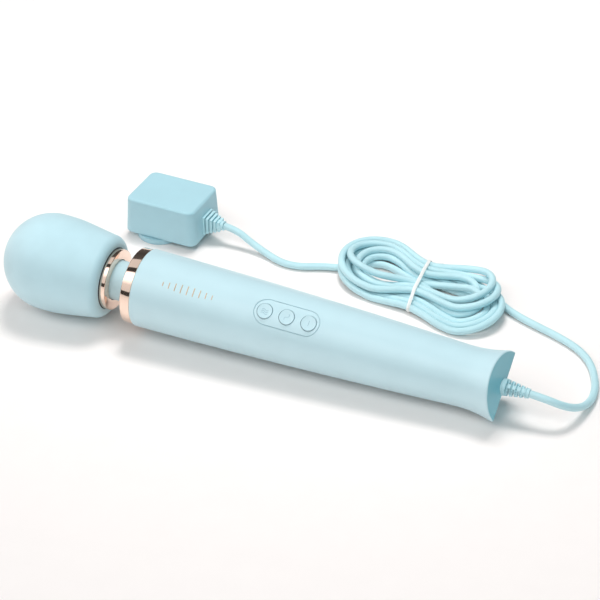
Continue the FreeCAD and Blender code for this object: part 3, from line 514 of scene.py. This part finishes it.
class Shader:
    """A Principled material with its grain made from noise in the shared frame."""

    def __init__(self, name, **sockets):
        self.material = bpy.data.materials.new(name)
        self.material.use_nodes = True
        self.tree = self.material.node_tree
        self.shader = self.tree.nodes["Principled BSDF"]
        for socket, value in sockets.items():
            self.shader.inputs[socket.replace("_", " ")].default_value = value
        self.place = self.tree.nodes.new("ShaderNodeTexCoord").outputs["Object"]

    def link(self, source, target):
        self.tree.links.new(source, target)

    def noise(self, size_mm, detail=3.0, stretch=None):
        """Noise whose patches are about this size; stretch draws it out along the axes."""
        texture = self.tree.nodes.new("ShaderNodeTexNoise")
        texture.inputs["Scale"].default_value = 1 / (size_mm * MM)
        texture.inputs["Detail"].default_value = detail
        place = self.place
        if stretch:
            mapping = self.tree.nodes.new("ShaderNodeMapping")
            mapping.inputs["Scale"].default_value = stretch
            self.link(place, mapping.inputs["Vector"])
            place = mapping.outputs["Vector"]
        self.link(place, texture.inputs["Vector"])
        return texture.outputs["Fac"]

    def colour(self, factor, low, high):
        ramp = self.tree.nodes.new("ShaderNodeValToRGB")
        ramp.color_ramp.elements[0].position = 0.3
        ramp.color_ramp.elements[0].color = (*low, 1)
        ramp.color_ramp.elements[1].position = 0.7
        ramp.color_ramp.elements[1].color = (*high, 1)
        self.link(factor, ramp.inputs["Fac"])
        self.link(ramp.outputs["Color"], self.shader.inputs["Base Color"])

    def roughness(self, factor, low, high):
        spread = self.tree.nodes.new("ShaderNodeMapRange")
        spread.inputs["To Min"].default_value = low
        spread.inputs["To Max"].default_value = high
        self.link(factor, spread.inputs["Value"])
        self.link(spread.outputs["Result"], self.shader.inputs["Roughness"])

    def bump(self, height, depth_mm, strength):
        bump = self.tree.nodes.new("ShaderNodeBump")
        bump.inputs["Strength"].default_value = strength
        bump.inputs["Distance"].default_value = depth_mm * MM
        self.link(height, bump.inputs["Height"])
        self.link(bump.outputs["Normal"], self.shader.inputs["Normal"])


def moulded(name, colour, roughness, grain_mm=0.35, depth_mm=0.02, vary=0.03, **sockets):
    """Moulded plastic or rubber: faint flow in the colour, and a fine moulded grain."""
    made = Shader(name, **sockets)
    low = [channel * (1 - vary) for channel in colour]
    high = [min(1, channel * (1 + vary)) for channel in colour]
    made.colour(made.noise(18, 2), low, high)
    made.roughness(made.noise(6, 4), roughness - 0.05, roughness + 0.05)
    made.bump(made.noise(grain_mm, 2), depth_mm, 0.35)
    return made.material


def metal(name, colour, roughness, brush=(1, 1, 1), vary=0.05, depth_mm=0.004, **sockets):
    """Metal with fine marks drawn out along one axis."""
    made = Shader(name, Metallic=1.0, **sockets)
    low = [channel * (1 - vary) for channel in colour]
    high = [min(1, channel * (1 + vary)) for channel in colour]
    made.colour(made.noise(9, 3), low, high)
    made.roughness(made.noise(0.8, 4, brush), roughness * 0.7, roughness * 1.3)
    made.bump(made.noise(0.5, 3, brush), depth_mm, 0.2)
    return made.material


# How squarely a face looks towards the tail, as a cosine, where the painted shade on the tail end starts and where
# it is full.
END_SHADE_STARTS = 0.75
END_SHADE_FULL = 0.92


def painted_end_shade(material, colour):
    """The same plastic, with painted shade: a deeper colour where it faces along the wand towards its tail."""
    tree = material.node_tree
    shader = tree.nodes["Principled BSDF"]
    body = shader.inputs["Base Color"].links[0].from_socket
    facing = tree.nodes.new("ShaderNodeVectorMath")
    facing.operation = "DOT_PRODUCT"
    facing.inputs[1].default_value = WAND.to_3x3().col[0]
    edge = tree.nodes.new("ShaderNodeMapRange")
    edge.inputs["From Min"].default_value = END_SHADE_STARTS
    edge.inputs["From Max"].default_value = END_SHADE_FULL
    painted_shade = tree.nodes.new("ShaderNodeMixRGB")
    painted_shade.inputs["Color2"].default_value = (*colour, 1)
    tree.links.new(tree.nodes.new("ShaderNodeNewGeometry").outputs["Normal"], facing.inputs[0])
    tree.links.new(facing.outputs["Value"], edge.inputs["Value"])
    tree.links.new(edge.outputs["Result"], painted_shade.inputs["Fac"])
    tree.links.new(body, painted_shade.inputs["Color1"])
    tree.links.new(painted_shade.outputs["Color"], shader.inputs["Base Color"])
    return material


def printed_board(name):
    """Green lacquer with lighter copper tracks under it."""
    made = Shader(name, Coat_Weight=0.4, Coat_Roughness=0.2)
    tracks = made.tree.nodes.new("ShaderNodeTexBrick")
    tracks.inputs["Scale"].default_value = 140
    tracks.inputs["Mortar Size"].default_value = 0.03
    tracks.inputs["Color1"].default_value = (0.02, 0.12, 0.05, 1)
    tracks.inputs["Color2"].default_value = (0.03, 0.15, 0.06, 1)
    tracks.inputs["Mortar"].default_value = (0.10, 0.30, 0.12, 1)
    made.link(made.place, tracks.inputs["Vector"])
    made.link(tracks.outputs["Color"], made.shader.inputs["Base Color"])
    made.roughness(made.noise(3), 0.35, 0.5)
    made.bump(tracks.outputs["Fac"], 0.03, 0.3)
    return made.material


WAND_BLUE = (0.57, 0.76, 0.815)
# Painted shade: the deeper teal laid on the shell where it faces the tail.
TAIL_PAINTED_SHADE = (0.20, 0.53, 0.62)


def satin_shell(name):
    """The wand's hard plastic, with a thin soft shine."""
    return moulded(name, WAND_BLUE, 0.36, 0.5, 0.006, 0.015, Coat_Weight=0.25, Coat_Roughness=0.3)


MATERIALS = {
    "silicone_blue": moulded("soft silicone", (0.54, 0.745, 0.805), 0.62, 0.25, 0.015,
                             Sheen_Weight=0.25, Sheen_Roughness=0.5),
    "shell_blue": satin_shell("satin shell"),
    "button_blue": moulded("satin key", WAND_BLUE, 0.40, 0.4, 0.008, 0.02),
    "lead_blue": moulded("lead sheath", (0.54, 0.78, 0.83), 0.42, 0.3, 0.02),
    "tie_white": moulded("tie cover", (0.88, 0.88, 0.86), 0.5, 0.3, 0.03),
    "frame_plastic": moulded("glass-filled plastic", (0.07, 0.075, 0.085), 0.6, 0.4, 0.04, 0.12),
    "soft_black": moulded("black rubber", (0.012, 0.012, 0.014), 0.7, 0.4, 0.04, 0.2),
    "component_black": moulded("black resin", (0.014, 0.014, 0.015), 0.35, 0.3, 0.01, 0.2),
    "component_white": moulded("white nylon", (0.72, 0.70, 0.62), 0.5, 0.4, 0.02, 0.04),
    "rose_gold": metal("polished rose gold", (0.93, 0.72, 0.60), 0.07, (1, 8, 8), 0.02, 0.0008),
    "steel": metal("brushed steel", (0.56, 0.56, 0.58), 0.3, (0.1, 3, 3)),
    "plated": metal("nickel plate", (0.72, 0.70, 0.67), 0.15, (1, 1, 1)),
    "sintered": metal("sintered bronze", (0.60, 0.42, 0.20), 0.5, (1, 1, 1), 0.2, 0.03),
    "copper": metal("bare copper", (0.80, 0.40, 0.25), 0.3, (1, 6, 1), 0.1),
    "magnet": metal("dark ferrite", (0.10, 0.10, 0.105), 0.6, (1, 1, 1), 0.2, 0.03),
    "can_alu": metal("sleeved aluminium", (0.50, 0.51, 0.53), 0.35, (4, 0.2, 4)),
    "circuit": printed_board("circuit board"),
}
# The handle's shell, with painted shade deepening the face at its tail end.
SHELL_WITH_PAINTED_END_SHADE = painted_end_shade(satin_shell("satin shell with painted end shade"), TAIL_PAINTED_SHADE)
ICON_INK = moulded("icon ink", (0.30, 0.47, 0.55), 0.5, 0.3, 0.01)
MARK_GOLD = moulded("printed gold", (0.72, 0.50, 0.30), 0.35, 0.3, 0.01, 0.08)
ADAPTER_SHELL = moulded("adapter plastic", (0.43, 0.66, 0.73), 0.5, 0.5, 0.02, 0.02)


def paint(item, material):
    item.data.materials.clear()
    item.data.materials.append(material)


def paint_node(name, material):
    """Every material slot of a carried-over CAD node."""
    slots = frame["nodes"][name].data.materials
    for index in range(len(slots)):
        slots[index] = material


for part in frame["record"]["subparts"]:
    paint_node(part["node"], MATERIALS[part["material_slot"]])
paint_node("handle_shell", SHELL_WITH_PAINTED_END_SHADE)
for name in ("adapter_case", "adapter_base", "pin_module"):
    paint_node(name, ADAPTER_SHELL)
paint(lead, MATERIALS["lead_blue"])
paint(wire_tie, MATERIALS["tie_white"])
paint(ring, MATERIALS["rose_gold"])
paint(collar, MATERIALS["rose_gold"])
paint(neck_rear, MATERIALS["silicone_blue"])
paint(neck_front, MATERIALS["silicone_blue"])
for key in ICONS:
    paint(bpy.data.objects["icon_" + key], ICON_INK)
paint(bpy.data.objects["level_mark"], MARK_GOLD)

# ---------------------------------------------------------------- floor and light

FLOOR_HALF = 8.0
FLOOR_DOWN = -0.2 * MM
floor_corners = [(x * FLOOR_HALF, y * FLOOR_HALF, FLOOR_DOWN)
                 for x, y in ((-1, -1), (1, -1), (1, 1), (-1, 1))]
floor = mesh_piece("floor", floor_corners, [(0, 1, 2, 3)], None, None)
paint(floor, moulded("pale table", (0.97, 0.895, 0.87), 0.9, 2.0, 0.02, 0.005))

# The studio seen from the wand, as (degrees back from straight up, brightness): a low front
# fill that brightens into a panel, an overhead panel past a dark gap, and a dim room behind.
STUDIO = [(-90, 0.05), (-78, 0.05), (-77, 0.75), (-56, 0.85), (-40, 1.9), (-20, 1.9), (-16, 0.05),
          (-3.5, 0.05), (-2.5, 0.75), (27, 0.75), (29, 0.10), (55, 0.06), (90, 0.12)]

# The room to the right of the wand is dim and cool, so its tail end lies in teal shade. The
# shade comes in between these two shares of the way from straight ahead to due right.
SHADE = (0.14, 0.42, 0.49)
SHADE_FROM = 0.15
SHADE_TO = 0.85


def studio_world():
    world = bpy.data.worlds.new("studio")
    bpy.context.scene.world = world
    world.use_nodes = True
    tree = world.node_tree
    place = tree.nodes.new("ShaderNodeTexCoord")
    split = tree.nodes.new("ShaderNodeSeparateXYZ")
    lean = tree.nodes.new("ShaderNodeMath")
    lean.operation = "ARCTAN2"
    turn = tree.nodes.new("ShaderNodeMapRange")
    turn.inputs["From Min"].default_value = -math.pi / 2
    turn.inputs["From Max"].default_value = math.pi / 2
    ramp = tree.nodes.new("ShaderNodeValToRGB")
    while len(ramp.color_ramp.elements) < len(STUDIO):
        ramp.color_ramp.elements.new(1.0)
    for element, (degrees, level) in zip(ramp.color_ramp.elements, STUDIO):
        element.position = (degrees + 90) / 180
        element.color = (level, level, level, 1)
    tree.links.new(place.outputs["Generated"], split.inputs["Vector"])
    tree.links.new(split.outputs["Y"], lean.inputs[0])
    tree.links.new(split.outputs["Z"], lean.inputs[1])
    tree.links.new(lean.outputs["Value"], turn.inputs["Value"])
    tree.links.new(turn.outputs["Result"], ramp.inputs["Fac"])
    side = tree.nodes.new("ShaderNodeMapRange")
    side.interpolation_type = "SMOOTHSTEP"
    side.inputs["From Min"].default_value = SHADE_FROM
    side.inputs["From Max"].default_value = SHADE_TO
    shade = tree.nodes.new("ShaderNodeMixRGB")
    shade.blend_type = "MULTIPLY"
    shade.inputs["Color2"].default_value = (*SHADE, 1)
    tree.links.new(split.outputs["X"], side.inputs["Value"])
    tree.links.new(side.outputs["Result"], shade.inputs["Fac"])
    tree.links.new(ramp.outputs["Color"], shade.inputs["Color1"])
    tree.links.new(shade.outputs["Color"], tree.nodes["Background"].inputs["Color"])


def area_light(name, place, target, width, height, power):
    """A soft panel of light. It is kept out of reflections, where it would draw a hard line."""
    light = bpy.data.lights.new(name, "AREA")
    light.shape = "RECTANGLE"
    light.size = width
    light.size_y = height
    light.energy = power
    item = bpy.data.objects.new(name, light)
    item.location = place
    item.rotation_mode = "QUATERNION"
    item.rotation_quaternion = (Vector(target) - Vector(place)).to_track_quat("-Z", "Y")
    item.visible_glossy = False
    bpy.context.collection.objects.link(item)


studio_world()
area_light("key", (-0.10, 0.42, 1.18), (0.0, 0.03, 0.0), 0.48, 0.36, 9.0)

bpy.context.view_layer.update()
